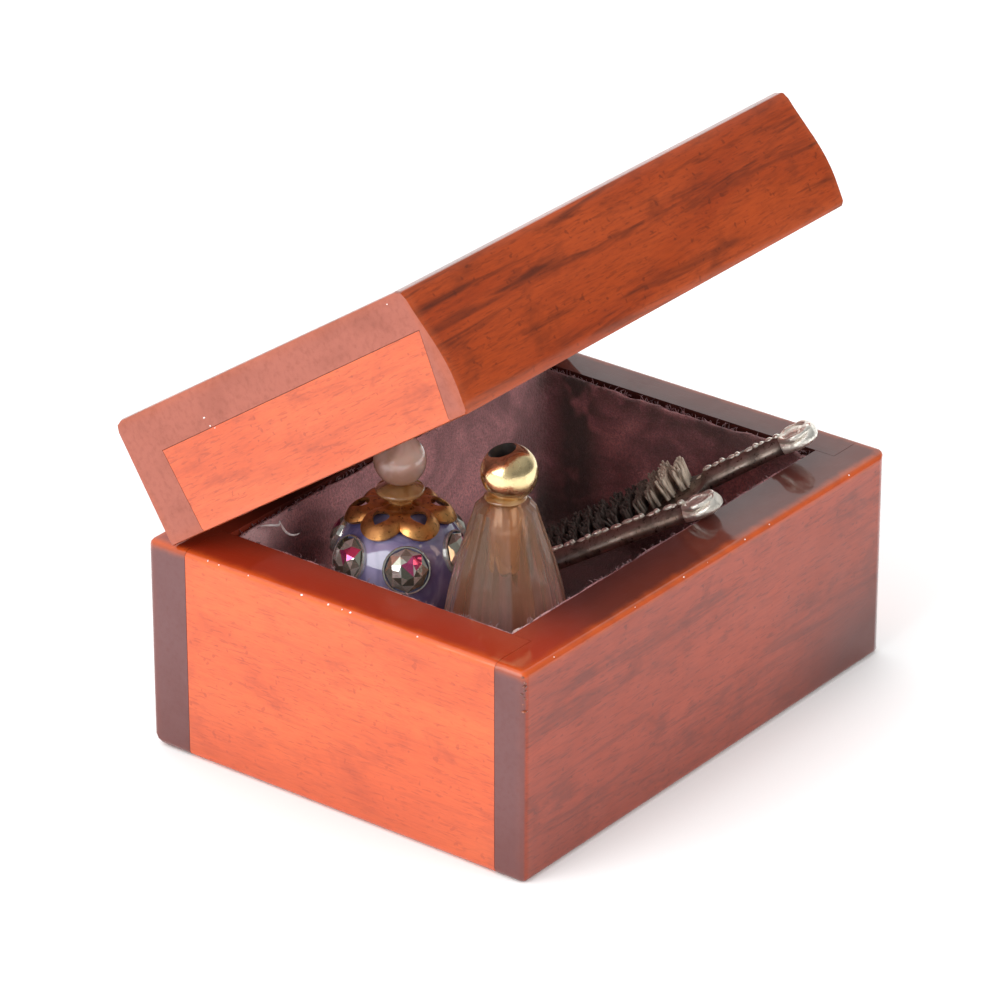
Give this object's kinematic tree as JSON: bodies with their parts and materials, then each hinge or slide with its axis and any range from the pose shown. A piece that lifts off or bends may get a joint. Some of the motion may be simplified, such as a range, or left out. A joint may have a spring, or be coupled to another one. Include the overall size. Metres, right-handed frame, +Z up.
{
  "type": "miniature jewellery chest",
  "caption": "Small lacquered wooden chest with a hinged lid and velvet lining, holding two stoppered scent bottles, a hand mirror and a brush.",
  "frame": {"origin": "centre of the chest's underside", "axes": "+Z up, the front faces -Y, the left end is at -X; the lid's hinges are along X at the back"},
  "size_m": [0.0258, 0.0208, 0.0243],
  "materials": {
    "red_wood": "red-brown lacquer, gloss",
    "orange_wood": "orange stained side grain, satin lacquer",
    "lid_wood": "orange-brown lacquer, gloss",
    "lid_end_wood": "orange stained, satin lacquer",
    "velvet": "plum velvet, short pile",
    "brass": "polished, slightly dull",
    "gold": "gold plated, polished",
    "silver": "cast white metal, polished",
    "mirror": "polished",
    "crystal": "pale amber acrylic, fluted",
    "blue_glass": "translucent blue violet, glossy",
    "rhinestone": "faceted, foil backed",
    "pearl": "translucent grey pink bead",
    "bristle": "cream bristle tufts"
  },
  "bodies": {
    "chest": {"front_board": "red_wood", "back_board": "red_wood", "left_end_board": "orange_wood", "right_end_board": "orange_wood", "bottom_board": "red_wood", "floor_lining": "velvet", "front_lining": "velvet", "back_lining": "velvet", "left_lining": "velvet", "right_lining": "velvet", "hinge_body_leaf_left": "brass", "hinge_body_leaf_right": "brass", "hinge_pin_left": "brass", "hinge_pin_right": "brass", "body_nail_left_1": "brass", "body_nail_left_2": "brass", "body_nail_right_1": "brass", "body_nail_right_2": "brass", "crystal_bottle": "crystal", "gold_ball_stopper": "gold", "blue_bottle": "blue_glass", "bottle_foot": "gold", "filigree_cap": "gold", "bottle_neck": "gold", "pearl_stopper": "pearl", "rhinestone_1": "rhinestone", "rhinestone_2": "rhinestone", "rhinestone_3": "rhinestone", "rhinestone_4": "rhinestone", "rhinestone_5": "rhinestone", "rhinestone_6": "rhinestone", "mirror_frame": "silver", "mirror_glass": "mirror", "brush_body": "silver", "brush_bristles": "bristle"},
    "lid": {"lid_shell": "lid_wood", "lid_left_end": "lid_end_wood", "lid_right_end": "lid_end_wood", "lid_top_lining": "velvet", "lid_front_lining": "velvet", "lid_back_lining": "velvet", "lid_left_lining": "velvet", "lid_right_lining": "velvet", "hinge_lid_leaf_left": "brass", "hinge_lid_leaf_right": "brass", "lid_nail_left_1": "brass", "lid_nail_left_2": "brass", "lid_nail_right_1": "brass", "lid_nail_right_2": "brass"}
  },
  "joints": [
    {"name": "lid_hinge", "type": "hinge", "parent": "chest", "child": "lid", "pos_m": [0, 0.00838, 0.00955], "axis": [-1, 0, 0], "range_deg": [-24, 60]}
  ]
}
